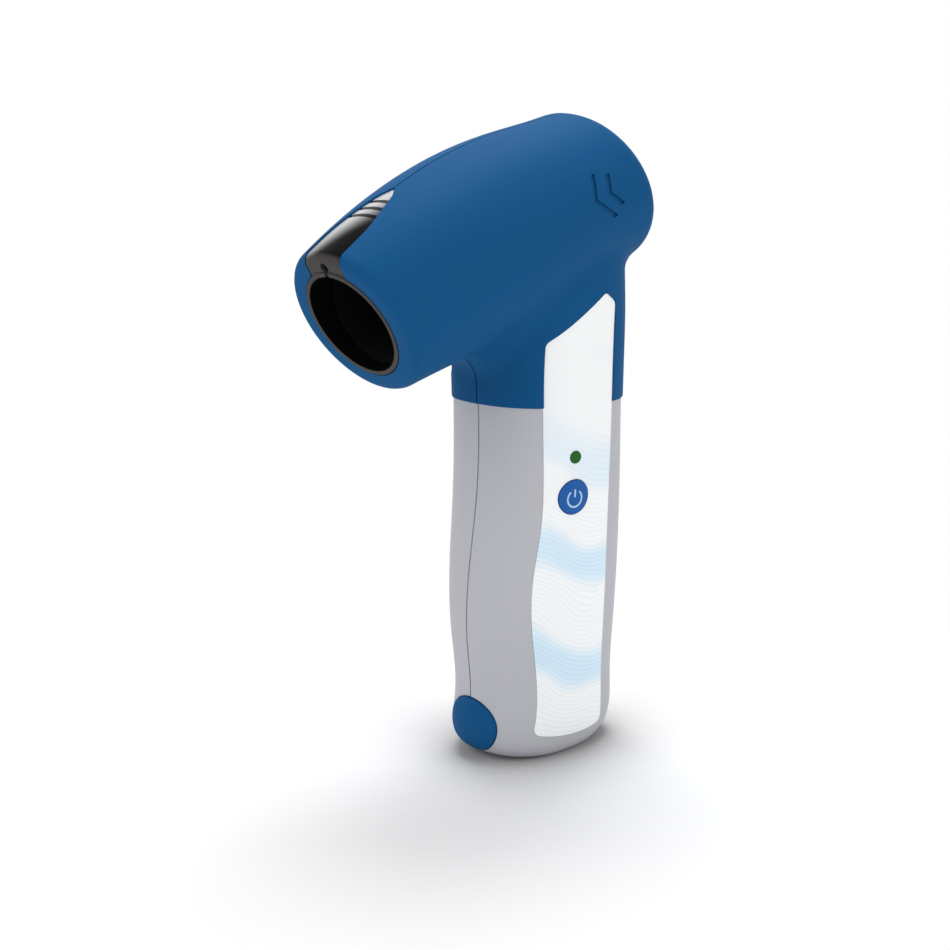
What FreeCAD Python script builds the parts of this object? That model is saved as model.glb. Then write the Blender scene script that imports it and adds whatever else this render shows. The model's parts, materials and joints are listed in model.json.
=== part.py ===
import FreeCAD, Part
import math
import os
from FreeCAD import Vector

# Handheld spirometer: an upright handle with a barrel-shaped head.
# A removable flow cartridge slides into the head from its mouth. Air passes
# straight through it, past a bundle of fine channels, and out at the rear.
# The origin is the middle of the flat foot. +Z is up, the mouth faces -Y,
# and the side with the keypad label and the power button faces +X.
# All sizes are in millimetres and all angles in degrees.

# Handle: one closed section per station, given as height, distance from
# the origin to the front, distance to the rear, and half width.
HANDLE_STATIONS = [
    (0.0, 27.6, 27.8, 18.8),
    (18.8, 26.6, 28.6, 18.4),
    (38.8, 28.0, 29.2, 19.2),
    (60.8, 27.2, 28.6, 21.4),
    (82.8, 24.2, 26.8, 23.4),
    (106.8, 23.4, 26.0, 23.9),
    (136.8, 27.2, 27.4, 23.4),
    (156.0, 28.0, 27.0, 22.8),
]
SECTION_POWER = 2.4
SECTION_POINTS = 12
FOOT_RIM_HEIGHT = 9.0
FOOT_RIM_SIDE = 4.5
FOOT_RIM_ENDS = 13.5
FOOT_RIM_STEPS = 3
WALL = 2.4

# Head: a barrel about the flow axis, which rises from the mouth to the rear.
MOUTH_Y = -70.6
MOUTH_Z = 137.9
MOUTH_TILT = 30.8
BARREL_TILT = 21.0
OUTLET_TILT = 28.8
BARREL_LENGTH = 102.7
BARREL_RISE = 2.8
BARREL_RADII = [22.6, 26.0, 27.3, 26.0, 25.3]
BARREL_WIDENING = 1.06
MOUTH_EDGE_RADIUS = 3.2
OUTLET_EDGE_RADIUS = 6.8
NECK_BLEND = 9.0

# Collar: the head's skirt stands proud of the handle above this height.
COLLAR_Z = 111.0
COLLAR_PROUD = 0.5
COLLAR_EDGE_RADIUS = 0.4
LIP_HEIGHT = 4.0
LIP_CLEARANCE = 0.15

# Parting line between the left and the right shells.
PARTING_GROOVE = 0.5
PARTING_DEPTH = 0.6

# Flow cartridge: ring with its latch tongue, tube and core.
BORE_RADIUS = 15.1
BORE_DEPTH = 27.0
FLOW_RADIUS = 14.2
TUBE_WALL = 1.4
SLIDE_CLEARANCE = 0.3
RING_LENGTH = 7.0
RING_PROUD = 0.2
TUBE_END = 95.6
CORE_START = 49.0
CORE_LENGTH = 26.0
CORE_RING_LENGTH = 1.5
CORE_RING_WIDTH = 1.5
CORE_CLEARANCE = 0.1
CELL_PITCH = 3.6
CELL_WALL = 0.7
CELL_RINGS = 3

# Latch tongue, as distance along the flow axis and half width.
# It never widens towards the rear, so it slides out of its slot.
TONGUE_PLAN = [(-10.0, 7.3), (-3.0, 7.3), (3.0, 7.3), (6.5, 7.2), (9.5, 6.9), (12.7, 6.2),
               (16.8, 5.0), (21.3, 3.7), (24.4, 2.3), (26.0, 0.9)]
TONGUE_DEPTH = 1.5
TONGUE_SUNK = 0.5
TONGUE_KNEE_RADIUS = 2.5
LUG_DEPTH = 1.8
LUG_SUNK = 0.2
GRIP_START = 13.6
GRIP_PITCH = 3.4
GRIP_COUNT = 3
GRIP_WIDTH = 1.3
GRIP_DEPTH = 0.6
KEYHOLE_RADIUS = 1.5
KEYHOLE_SLIT = 1.5
KEYHOLE_RISE = 17.9

# Sleeve that guides the cartridge, and the ribs that hold it in the head.
SLEEVE_WALL = 1.2
SLEEVE_END_GAP = 0.3
RIB_THICKNESS = 1.6
RIB_PLACES = [26.0, 88.0]
SEAT_CLEARANCE = 0.05

# Outlet ring in the rear opening.
OUTLET_RING_START = 97.0
OUTLET_RING_BORE = 15.6
OUTLET_RING_WALL = 1.6
OUTLET_FLANGE = 2.2
OUTLET_HOLE_CLEARANCE = 0.1

# Pressure taps on both sides of the core, with their manifold and sensor.
TAP_OFFSET = 3.2
TAP_HOLE_RADIUS = 0.9
TAP_BOSS_RADIUS = 3.4
TAP_BOSS_LENGTH = 3.6
SEAL_THICKNESS = 0.8
MANIFOLD_HALF_WIDTH = 4.0
MANIFOLD_HEIGHT = 4.0
MANIFOLD_OVERHANG = 3.0
SENSOR_SIZE = (10.0, 12.0, 4.5)
SENSOR_CORNER = 0.8

# Debossed chevrons on both sides of the head, as (place along the flow
# axis, height over it) of the upper end, the corner and the lower end.
CHEVRONS = [
    [(77.7, 12.8), (74.1, 6.3), (81.2, -1.2)],
    [(83.3, 10.8), (81.0, 5.9), (85.2, 1.1)],
]
CHEVRON_WIDTH = 2.0
CHEVRON_DEPTH = 0.6

# Keypad label, as (y, z) points down its front edge, up its rear edge,
# at the middle of its curved foot and at its peak.
LABEL_FRONT = [(-15.8, 130.0), (-15.4, 96.0), (-15.8, 75.0), (-17.6, 58.0),
               (-16.8, 42.0), (-14.4, 27.0), (-15.8, 9.4)]
LABEL_REAR = [(13.4, 7.2), (13.6, 30.0), (12.2, 52.0), (9.4, 80.0), (9.6, 110.0), (11.2, 140.6)]
LABEL_FOOT = (0.0, 6.6)
LABEL_PEAK = (5.8, 143.8)
LABEL_CORNER = 2.5
LABEL_PROUD = 0.1
LABEL_THICKNESS = 0.5
LABEL_CLEARANCE = 0.15
LABEL_RECESS_GAP = 0.05

# Power button, status lamp and the switch behind the button.
BUTTON_Y = -6.1
BUTTON_Z = 83.9
BUTTON_RADIUS = 5.2
BUTTON_CLEARANCE = 0.25
BUTTON_PROUD = 0.5
BUTTON_CAP = 2.2
BUTTON_STEM_RADIUS = 2.0
BUTTON_TRAVEL = 0.6
BUTTON_TRAVEL_GAP = 0.15
LAMP_Z = 96.0
LAMP_RADIUS = 1.8
LAMP_PROUD = 0.3
LAMP_CLEARANCE = 0.15
SWITCH_SIZE = 6.0
SWITCH_HEIGHT = 3.2
SWITCH_DOME_RADIUS = 1.8

# Main board, upright behind the button, with its posts and radio module.
BOARD_X = 9.0
BOARD_THICKNESS = 1.6
BOARD_HALF_DEPTH = 12.5
BOARD_BOTTOM = 28.0
BOARD_TOP = 108.0
BOARD_CORNER = 2.0
POST_RADIUS = 2.2
POST_INSET = 4.0
RADIO_SIZE = (2.2, 12.0, 16.0)
RADIO_Z = 46.0

# Battery cell and its holder on the back of the main board.
BATTERY_RADIUS = 7.1
BATTERY_LENGTH = 50.0
BATTERY_BOTTOM = 34.0
BATTERY_NIPPLE_RADIUS = 2.6
BATTERY_NIPPLE_HEIGHT = 1.2
HOLDER_WALL = 1.6
HOLDER_CLEARANCE = 0.2
HOLDER_OPEN_X = -1.0

# Charging socket at the foot's front corner, with its small board.
SOCKET_Z = 11.0
SOCKET_WIDTH = 9.0
SOCKET_HEIGHT = 3.4
SOCKET_LENGTH = 8.0
SOCKET_WALL = 0.4
SOCKET_CORNER = 1.2
SOCKET_SETBACK = 4.2
SOCKET_PIN_THICKNESS = 0.8
CHARGE_BOARD_SIZE = (14.0, 14.0, 1.2)
CHARGE_BOARD_SETBACK = 1.5
CHARGE_POST_WIDTH = 3.0

# Oval cover over the charging socket.
COVER_HALF_WIDTH = 9.6
COVER_HALF_HEIGHT = 8.6
COVER_Z = 11.4
COVER_PROUD = 0.6
COVER_THICKNESS = 1.5
COVER_CLEARANCE = 0.3
PLUG_HALF_WIDTH = 5.4
PLUG_HALF_HEIGHT = 2.4

# Screws from the left side into bosses of the right shell, as (y, z).
HANDLE_SCREWS = [(19.5, 44.0), (18.5, 100.0), (-17.5, 70.0)]
HEAD_SCREWS = [(14.5, 131.5), (-19.0, 120.5)]
SCREW_RADIUS = 1.2
SCREW_HEAD_RADIUS = 2.4
SCREW_HEAD_HEIGHT = 1.8
SCREW_REACH = 6.0
SCREW_CLEARANCE = 0.1
SCREW_SEAT_X = -9.0
SCREW_CROSS = 0.7
BOSS_RADIUS = 3.6

# Longer than the whole object, for cutting tools.
REACH = 300.0


def axis_dir(tilt):
    """Direction in the YZ plane that rises by the tilt towards the rear."""
    a = math.radians(tilt)
    return Vector(0, math.cos(a), math.sin(a))


def axis_up(tilt):
    """Direction in the YZ plane at right angles to axis_dir(tilt)."""
    a = math.radians(tilt)
    return Vector(0, -math.sin(a), math.cos(a))


MOUTH = Vector(0, MOUTH_Y, MOUTH_Z)
AXIS = axis_dir(BARREL_TILT)
UP = axis_up(BARREL_TILT)
INWARD = axis_dir(MOUTH_TILT)
OUTLET = MOUTH + AXIS * BARREL_LENGTH
OUTLET_RING_RADIUS = OUTLET_RING_BORE + OUTLET_RING_WALL
TUBE_RADIUS = BORE_RADIUS + TUBE_WALL
SLEEVE_BORE = TUBE_RADIUS + SLIDE_CLEARANCE
SLEEVE_RADIUS = SLEEVE_BORE + SLEEVE_WALL
MOUTH_REACH = BARREL_RADII[0]


def on_axis(s, x=0.0, up=0.0):
    """Point at distance s behind the mouth along the flow axis."""
    return MOUTH + AXIS * s + Vector(x, 0, 0) + UP * up


def axis_cylinder(radius, start, end):
    return Part.makeCylinder(radius, end - start, on_axis(start), AXIS)


def axis_tube(outer, inner, start, end):
    return axis_cylinder(outer, start, end).cut(axis_cylinder(inner, start - 1, end + 1))


def x_cylinder(radius, start, end, y, z):
    return Part.makeCylinder(radius, end - start, Vector(start, y, z), Vector(1, 0, 0))


def centred_box(size, centre):
    corner = centre - Vector(size[0] / 2, size[1] / 2, size[2] / 2)
    return Part.makeBox(size[0], size[1], size[2], corner)


def behind(point, tilt):
    """Half space behind the plane through the point, square to the tilt."""
    box = Part.makeBox(2 * REACH, REACH, 2 * REACH, Vector(-REACH, 0, -REACH))
    box.rotate(Vector(0, 0, 0), Vector(1, 0, 0), tilt)
    box.translate(point)
    return box


def behind_mouth(depth):
    """Half space deeper in the head than the given depth behind the mouth."""
    return behind(MOUTH + INWARD * depth, MOUTH_TILT)


def above(z):
    return Part.makeBox(2 * REACH, 2 * REACH, REACH, Vector(-REACH, -REACH, z))


def side(sign):
    """Half space on the -X or the +X side."""
    low = -REACH if sign < 0 else 0.0
    return Part.makeBox(REACH, 2 * REACH, 2 * REACH, Vector(low, -REACH, -REACH))


def prism(points, direction):
    """Solid swept from the closed outline of points along the direction."""
    face = Part.Face(Part.makePolygon(points + [points[0]]))
    return face.extrude(direction)


def closed_wire(points):
    curve = Part.BSplineCurve()
    curve.interpolate(Points=points, PeriodicFlag=True)
    return Part.Wire([curve.toShape()])


def signed_power(value, power):
    return math.copysign(abs(value) ** power, value)


# Forms of the housing


def handle_section(z, front, rear, half, side_inset, end_inset):
    """Rounded closed section: a superellipse with its own front and rear."""
    centre_y = (rear - front) / 2
    half_depth = (rear + front) / 2 - end_inset
    half_width = half - side_inset
    points = []
    for i in range(SECTION_POINTS):
        a = 2 * math.pi * i / SECTION_POINTS
        x = half_width * signed_power(math.sin(a), 2 / SECTION_POWER)
        y = centre_y + half_depth * signed_power(math.cos(a), 2 / SECTION_POWER)
        points.append(Vector(x, y, z))
    return closed_wire(points)


def handle_at(z):
    """Front, rear and half width of the handle between two stations."""
    for low, high in zip(HANDLE_STATIONS, HANDLE_STATIONS[1:]):
        if z <= high[0]:
            share = (z - low[0]) / (high[0] - low[0])
            return [a + (b - a) * share for a, b in zip(low[1:], high[1:])]
    return list(HANDLE_STATIONS[-1][1:])


def handle_solid(inset, bottom=0.0):
    """Handle and neck, drawn in by inset, on a foot with a rounded rim."""
    rim = FOOT_RIM_HEIGHT - bottom
    wires = []
    for i in range(FOOT_RIM_STEPS + 1):
        a = math.pi / 2 * i / FOOT_RIM_STEPS
        z = bottom + rim * (1 - math.cos(a))
        draw = 1 - math.sin(a)
        side_inset = inset + FOOT_RIM_SIDE * draw
        end_inset = inset + FOOT_RIM_ENDS * draw
        wires.append(handle_section(z, *handle_at(z), side_inset, end_inset))
    for z, front, rear, half in HANDLE_STATIONS:
        if z > FOOT_RIM_HEIGHT:
            wires.append(handle_section(z, front, rear, half, inset, inset))
    return Part.makeLoft(wires, True, False)


def barrel_section(s, radius, widening, tilt, inset):
    share = s / BARREL_LENGTH
    rise = 4 * share * (1 - share) * BARREL_RISE
    centre = on_axis(s, up=rise)
    up = axis_up(tilt)
    points = []
    for i in range(SECTION_POINTS):
        a = 2 * math.pi * i / SECTION_POINTS
        x = (radius * widening - inset) * math.sin(a)
        points.append(centre + Vector(x, 0, 0) + up * ((radius - inset) * math.cos(a)))
    return closed_wire(points)


def barrel_solid(inset, front=0.0, rear=0.0):
    """Barrel of the head, drawn in by inset, cut short at each end."""
    wires = []
    last = len(BARREL_RADII) - 1
    tilts = [BARREL_TILT] * (last + 1)
    tilts[0] = MOUTH_TILT
    tilts[1] = (MOUTH_TILT + BARREL_TILT) / 2
    tilts[-2] = (OUTLET_TILT + BARREL_TILT) / 2
    tilts[-1] = OUTLET_TILT
    for i, radius in enumerate(BARREL_RADII):
        s = i / last * BARREL_LENGTH
        if i == 0:
            s = front
        if i == last:
            s = BARREL_LENGTH - rear
        widening = 1.0 if i == 0 else BARREL_WIDENING
        wires.append(barrel_section(s, radius, widening, tilts[i], inset))
    return Part.makeLoft(wires, True, False)


def common_edges(body, first, second):
    """Edges of the fused body that lie on both of its parts."""
    found = []
    for edge in body.Edges:
        middle = Part.Vertex(edge.valueAt((edge.FirstParameter + edge.LastParameter) / 2))
        gaps = [min(f.distToShape(middle)[0] for f in s.Faces) for s in (first, second)]
        if max(gaps) < 0.001:
            found.append(edge)
    return found


def rounded_barrel(inset, front, radius):
    """Barrel drawn in by inset, with its mouth's rim rounded."""
    barrel = barrel_solid(inset, front)
    rim = [e for e in barrel.Edges if e.BoundBox.YMax < MOUTH_Y + MOUTH_REACH]
    return barrel.makeFillet(radius, rim)


def head_outer():
    """Barrel with rounded mouth and outlet, blended into the neck's skirt."""
    barrel = rounded_barrel(0.0, 0.0, MOUTH_EDGE_RADIUS)
    rear_y = OUTLET.y - BARREL_RADII[-1]
    rims = [e for e in barrel.Edges if e.BoundBox.YMin > rear_y and e.Length > BARREL_LENGTH]
    barrel = barrel.makeFillet(OUTLET_EDGE_RADIUS, rims)
    neck = handle_solid(-COLLAR_PROUD).common(above(COLLAR_Z))
    head = barrel.fuse(neck)
    head = head.makeFillet(NECK_BLEND, common_edges(head, barrel, neck))
    low = [e for e in head.Edges if e.BoundBox.ZMax < COLLAR_Z + 0.01]
    return head.makeFillet(COLLAR_EDGE_RADIUS, low)


def parting_groove(outer, inner_forms):
    """Thin groove in the surface along the parting plane."""
    corner = Vector(-PARTING_GROOVE / 2, -REACH, -REACH)
    groove = Part.makeBox(PARTING_GROOVE, 2 * REACH, 2 * REACH, corner).common(outer)
    for form in inner_forms:
        groove = groove.cut(form)
    return groove


# Outlines that a piece shares with the recess that takes it


def label_outline(grow):
    """Label prism along +X with a slanted top and a waisted front edge."""
    front = [Vector(0, y - grow, z) for y, z in LABEL_FRONT]
    rear = [Vector(0, y + grow, z) for y, z in LABEL_REAR]
    front[-1].z -= grow
    rear[0].z -= grow
    foot = Vector(0, LABEL_FOOT[0], LABEL_FOOT[1] - grow)
    peak = Vector(0, LABEL_PEAK[0], LABEL_PEAK[1] + grow)
    front_curve = Part.BSplineCurve()
    front_curve.interpolate(front)
    rear_curve = Part.BSplineCurve()
    rear_curve.interpolate(rear)
    foot_curve = Part.Arc(front[-1], foot, rear[0])
    rear_slope = Part.LineSegment(rear[-1], peak)
    front_slope = Part.LineSegment(peak, front[0])
    outline = [front_curve, foot_curve, rear_curve, rear_slope, front_slope]
    wire = Part.Wire([curve.toShape() for curve in outline])
    solid = Part.Face(wire).extrude(Vector(REACH, 0, 0))
    corners = [e for e in solid.Edges if e.BoundBox.XLength > REACH / 2]
    return solid.makeFillet(LABEL_CORNER + grow, corners)


def tongue_outline(grow):
    """Leaf-shaped tongue prism, square to the flow axis."""
    edge = [on_axis(s, x + grow, BORE_RADIUS) for s, x in TONGUE_PLAN]
    other = [on_axis(s, -x - grow, BORE_RADIUS) for s, x in TONGUE_PLAN]
    tip = on_axis(TONGUE_PLAN[-1][0] + TONGUE_PLAN[-1][1] + grow, 0, BORE_RADIUS)
    right = Part.BSplineCurve()
    right.interpolate(edge)
    left = Part.BSplineCurve()
    left.interpolate(other)
    outline = [right, Part.Arc(edge[-1], tip, other[-1]), left, Part.LineSegment(other[0], edge[0])]
    wire = Part.Wire([curve.toShape() for curve in outline])
    return Part.Face(wire).extrude(UP * BARREL_RADII[2])


def cover_outline(grow):
    """Oval prism along Y at the foot's front corner."""
    oval = Part.Ellipse(Vector(0, 0, 0), COVER_HALF_WIDTH + grow, COVER_HALF_HEIGHT + grow)
    face = Part.Face(Part.Wire([oval.toShape()]))
    face.rotate(Vector(0, 0, 0), Vector(1, 0, 0), 90)
    face.translate(Vector(0, -REACH / 4, COVER_Z))
    return face.extrude(Vector(0, REACH / 4, 0))


def plug_outline(grow, start, end):
    """Rounded stub of the cover, along Y."""
    half_width = PLUG_HALF_WIDTH + grow
    half_height = PLUG_HALF_HEIGHT + grow
    corner = Vector(-half_width, start, SOCKET_Z - half_height)
    box = Part.makeBox(2 * half_width, end - start, 2 * half_height, corner)
    along = [e for e in box.Edges if e.BoundBox.YLength > (end - start) / 2]
    return box.makeFillet(half_height * 0.8, along)


# Places that follow from the sizes


def handle_side_x(y, z):
    """Half width of the handle's surface at a point of its side."""
    front, rear, half = handle_at(z)
    depth = abs(y - (rear - front) / 2) / ((rear + front) / 2)
    return half * (1 - depth ** SECTION_POWER) ** (1 / SECTION_POWER)


FOOT_FRONT = -handle_at(SOCKET_Z)[0]
SOCKET_FACE = FOOT_FRONT + SOCKET_SETBACK
BOARD_FACE = BOARD_X + BOARD_THICKNESS
TAP_FRONT = CORE_START - TAP_OFFSET
TAP_REAR = CORE_START + CORE_LENGTH + TAP_OFFSET
TAP_BOSS_END = SLEEVE_RADIUS + TAP_BOSS_LENGTH
MANIFOLD_TOP = TAP_BOSS_END + SEAL_THICKNESS


def tap_cylinder(radius, s, start, end):
    """Cylinder under the sleeve, pointing away from the flow axis."""
    return Part.makeCylinder(radius, end - start, on_axis(s, up=-start), UP * -1)


def board_post_places():
    y = BOARD_HALF_DEPTH - POST_INSET
    low = BOARD_BOTTOM + POST_INSET
    high = BOARD_TOP - POST_INSET
    return [(-y, low), (y, low), (-y, high), (y, high)]


# Shells


def add_bosses(shell, form, places, sign):
    """Screw bosses from the wall of one shell to the parting plane."""
    for y, z in places:
        boss = x_cylinder(BOSS_RADIUS, -REACH / 4, REACH / 4, y, z)
        shell = shell.fuse(boss.common(form).common(side(sign)))
    for y, z in places:
        if sign < 0:
            shell = shell.cut(x_cylinder(SCREW_RADIUS + SCREW_CLEARANCE, -REACH / 4, 1, y, z))
            head_hole = SCREW_HEAD_RADIUS + SCREW_CLEARANCE
            shell = shell.cut(x_cylinder(head_hole, -REACH / 4, SCREW_SEAT_X, y, z))
        else:
            shell = shell.cut(x_cylinder(SCREW_RADIUS, -1, SCREW_REACH + 1, y, z))
    return shell


def button_holes(piece):
    """Holes through the label or the right shell for the button and lamp."""
    hole = x_cylinder(BUTTON_RADIUS + BUTTON_CLEARANCE, BOARD_FACE, REACH, BUTTON_Y, BUTTON_Z)
    lamp_hole = x_cylinder(LAMP_RADIUS + LAMP_CLEARANCE, BOARD_FACE, REACH, BUTTON_Y, LAMP_Z)
    return piece.cut(hole).cut(lamp_hole)


def label_recess():
    """Volume that the label's recess takes out of a shell."""
    depth = LABEL_THICKNESS - LABEL_PROUD + LABEL_RECESS_GAP
    return label_outline(LABEL_CLEARANCE).cut(handle_solid(depth))


def head_cavity():
    """Hollow of the head, wider at the bottom to take the handle's lip."""
    neck = handle_solid(WALL).common(above(COLLAR_Z - 1))
    lip_room = handle_solid(WALL / 2).common(above(COLLAR_Z - 1))
    lip_room = lip_room.cut(above(COLLAR_Z + LIP_HEIGHT + LIP_CLEARANCE))
    return barrel_solid(WALL, WALL, WALL).fuse([neck, lip_room])


def chevron_strokes():
    """Tools for the chevrons on the left side of the head."""
    skin = barrel_solid(CHEVRON_DEPTH)
    strokes = []
    for points in CHEVRONS:
        plan = [(s - CHEVRON_WIDTH / 2, up) for s, up in points]
        plan += [(s + CHEVRON_WIDTH / 2, up) for s, up in reversed(points)]
        stroke = prism([on_axis(a, -BORE_RADIUS, b) for a, b in plan], Vector(-REACH / 4, 0, 0))
        strokes.append(stroke.cut(skin))
    return strokes


def mirrored(shape):
    return shape.mirror(Vector(0, 0, 0), Vector(1, 0, 0))


def head_shells():
    outer = head_outer().common(side(-1))
    body = outer.cut(head_cavity().common(side(-1)))
    rib_form = barrel_solid(WALL / 2, WALL / 2, WALL / 2).common(side(-1))
    for s in RIB_PLACES:
        rib = axis_tube(2 * BARREL_RADII[2], SLEEVE_RADIUS + SEAT_CLEARANCE, s, s + RIB_THICKNESS)
        body = body.fuse(rib.common(rib_form))
    outlet_hole = OUTLET_RING_RADIUS + OUTLET_HOLE_CLEARANCE
    outline = tongue_outline(SLIDE_CLEARANCE).common(side(-1))
    tools = [
        axis_cylinder(SLEEVE_BORE, -MOUTH_REACH, RIB_PLACES[0]),
        axis_cylinder(outlet_hole, OUTLET_RING_START, BARREL_LENGTH + MOUTH_REACH),
        outline.cut(barrel_solid(TONGUE_DEPTH + SLIDE_CLEARANCE, LUG_DEPTH + SLIDE_CLEARANCE)),
        parting_groove(outer, [barrel_solid(PARTING_DEPTH), handle_solid(PARTING_DEPTH)]),
    ]
    for tool in tools + chevron_strokes():
        body = body.cut(tool)
    left = add_bosses(body, outer, HEAD_SCREWS, -1)
    right = add_bosses(mirrored(body), mirrored(outer), HEAD_SCREWS, 1)
    return {"head_shell_left": left, "head_shell_right": right.cut(label_recess())}


def handle_shells():
    outer = handle_solid(0.0).common(side(-1)).cut(above(COLLAR_Z))
    inside = handle_solid(WALL / 2, WALL / 2)
    lip = handle_solid(WALL / 2 + LIP_CLEARANCE).common(side(-1)).common(above(COLLAR_Z - 1))
    body = outer.fuse(lip.cut(above(COLLAR_Z + LIP_HEIGHT)))
    body = body.cut(handle_solid(WALL, WALL))
    cover_seat = handle_solid(COVER_THICKNESS - COVER_PROUD + COVER_CLEARANCE)
    tools = [
        cover_outline(COVER_CLEARANCE).common(side(-1)).cut(cover_seat),
        plug_outline(COVER_CLEARANCE, FOOT_FRONT - 1, SOCKET_FACE),
        parting_groove(outer, [handle_solid(PARTING_DEPTH, PARTING_DEPTH)]),
    ]
    for tool in tools:
        body = body.cut(tool)
    post_top = SOCKET_Z - SOCKET_HEIGHT / 2 - CHARGE_BOARD_SIZE[2]
    post_size = (CHARGE_POST_WIDTH, CHARGE_BOARD_SIZE[1] - 2, post_top - WALL / 2)
    post_y = SOCKET_FACE + CHARGE_BOARD_SETBACK + 1
    post_corner = Vector(-CHARGE_BOARD_SIZE[0] / 2, post_y, WALL / 2)
    body = body.fuse(Part.makeBox(*post_size, post_corner).common(inside))

    right = button_holes(mirrored(body).cut(label_recess()))
    for y, z in board_post_places():
        right = right.fuse(x_cylinder(POST_RADIUS, BOARD_FACE, REACH / 4, y, z).common(inside))
    left = add_bosses(body, inside, HANDLE_SCREWS, -1)
    right = add_bosses(right, inside, HANDLE_SCREWS, 1)
    return {"handle_shell_left": left, "handle_shell_right": right}


# Outside details


def keypad_label():
    skin = handle_solid(-LABEL_PROUD).common(label_outline(0.0))
    return button_holes(skin.cut(handle_solid(LABEL_THICKNESS - LABEL_PROUD)))


def power_button():
    """Domed cap that follows the label's surface, with a stem to the switch."""
    base = handle_side_x(BUTTON_Y, BUTTON_Z) - BUTTON_CAP
    cap = x_cylinder(BUTTON_RADIUS, base, REACH / 4, BUTTON_Y, BUTTON_Z)
    cap = cap.common(handle_solid(-BUTTON_PROUD))
    stem_end = BOARD_FACE + SWITCH_HEIGHT + BUTTON_TRAVEL + BUTTON_TRAVEL_GAP
    return cap.fuse(x_cylinder(BUTTON_STEM_RADIUS, stem_end, base + BUTTON_CAP / 2, BUTTON_Y, BUTTON_Z))


def status_lamp():
    pipe = x_cylinder(LAMP_RADIUS, BOARD_FACE, REACH / 4, BUTTON_Y, LAMP_Z)
    return pipe.common(handle_solid(-LABEL_PROUD - LAMP_PROUD))


def port_cover():
    outline = cover_outline(0.0)
    inner_form = handle_solid(COVER_THICKNESS - COVER_PROUD)
    cap = outline.common(handle_solid(-COVER_PROUD)).cut(inner_form)
    plug_start = FOOT_FRONT - COVER_PROUD
    plug_end = SOCKET_FACE - COVER_CLEARANCE
    plug = plug_outline(0.0, plug_start, plug_end).common(handle_solid(0.0))
    return cap.fuse(plug)


# Flow cartridge


def flow_tube():
    tube = axis_tube(TUBE_RADIUS, FLOW_RADIUS, RING_LENGTH, TUBE_END)
    tube = tube.cut(axis_cylinder(BORE_RADIUS, RING_LENGTH - 1, BORE_DEPTH))
    for s in (TAP_FRONT, TAP_REAR):
        tube = tube.cut(tap_cylinder(TAP_HOLE_RADIUS, s, 0, TUBE_RADIUS + 1))
    return tube


def keyhole():
    """Round hole over the bore with a slit down into it."""
    start = 1 - RING_LENGTH
    hole = Part.makeCylinder(KEYHOLE_RADIUS, RING_LENGTH, on_axis(start, up=KEYHOLE_RISE), AXIS)
    low = BORE_RADIUS - 1
    plan = [(-1, low), (1, low), (1, KEYHOLE_RISE), (-1, KEYHOLE_RISE)]
    slit = prism([on_axis(start, x * KEYHOLE_SLIT / 2, up) for x, up in plan], AXIS * RING_LENGTH)
    return hole.fuse(slit)


def ring_and_tongue():
    ring = axis_tube(TUBE_RADIUS, BORE_RADIUS, -MOUTH_REACH, RING_LENGTH)
    ring = ring.common(behind_mouth(-RING_PROUD))
    form = rounded_barrel(TONGUE_SUNK, LUG_SUNK, TONGUE_KNEE_RADIUS)
    tongue = tongue_outline(0.0).common(form).cut(barrel_solid(TONGUE_DEPTH, LUG_DEPTH))
    tongue = tongue.cut(axis_cylinder(BORE_RADIUS, -MOUTH_REACH, RING_LENGTH))
    body = ring.fuse(tongue)
    floor = barrel_solid(TONGUE_SUNK + GRIP_DEPTH)
    for i in range(GRIP_COUNT):
        s = GRIP_START + i * GRIP_PITCH
        groove = axis_cylinder(2 * BARREL_RADII[2], s, s + GRIP_WIDTH).cut(floor)
        body = body.cut(groove)
    return body.cut(keyhole())


def cell(centre_x, centre_up, size):
    points = []
    for i in range(6):
        a = math.pi / 3 * i
        corner = on_axis(CORE_START - 1, centre_x + size * math.sin(a), centre_up + size * math.cos(a))
        points.append(corner)
    return prism(points, AXIS * (CORE_LENGTH + 2))


def capillary_core():
    """Bundle of parallel six-sided channels, in rings about the middle one."""
    body = axis_cylinder(FLOW_RADIUS - CORE_CLEARANCE, CORE_START, CORE_START + CORE_LENGTH)
    size = (CELL_PITCH - CELL_WALL) / math.sqrt(3)
    cells = []
    for q in range(-CELL_RINGS, CELL_RINGS + 1):
        for r in range(-CELL_RINGS, CELL_RINGS + 1):
            if abs(q + r) <= CELL_RINGS:
                x = CELL_PITCH * (q + r / 2)
                up = CELL_PITCH * r * math.sqrt(3) / 2
                cells.append(cell(x, up, size))
    return body.cut(Part.makeCompound(cells))


def core_ring(start):
    outer = FLOW_RADIUS - CORE_CLEARANCE
    return axis_tube(outer, FLOW_RADIUS - CORE_RING_WIDTH, start, start + CORE_RING_LENGTH)


# Fixed pieces in the head


def cartridge_sleeve():
    sleeve = axis_cylinder(SLEEVE_RADIUS, -1, TUBE_END + SLEEVE_END_GAP)
    for s in (TAP_FRONT, TAP_REAR):
        sleeve = sleeve.fuse(tap_cylinder(TAP_BOSS_RADIUS, s, SLEEVE_BORE, TAP_BOSS_END))
    sleeve = sleeve.cut(axis_cylinder(SLEEVE_BORE, -2, TUBE_END + 2))
    for s in (TAP_FRONT, TAP_REAR):
        sleeve = sleeve.cut(tap_cylinder(TAP_HOLE_RADIUS, s, 0, TAP_BOSS_END + 1))
    return sleeve.common(behind_mouth(WALL + SLEEVE_END_GAP))


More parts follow.
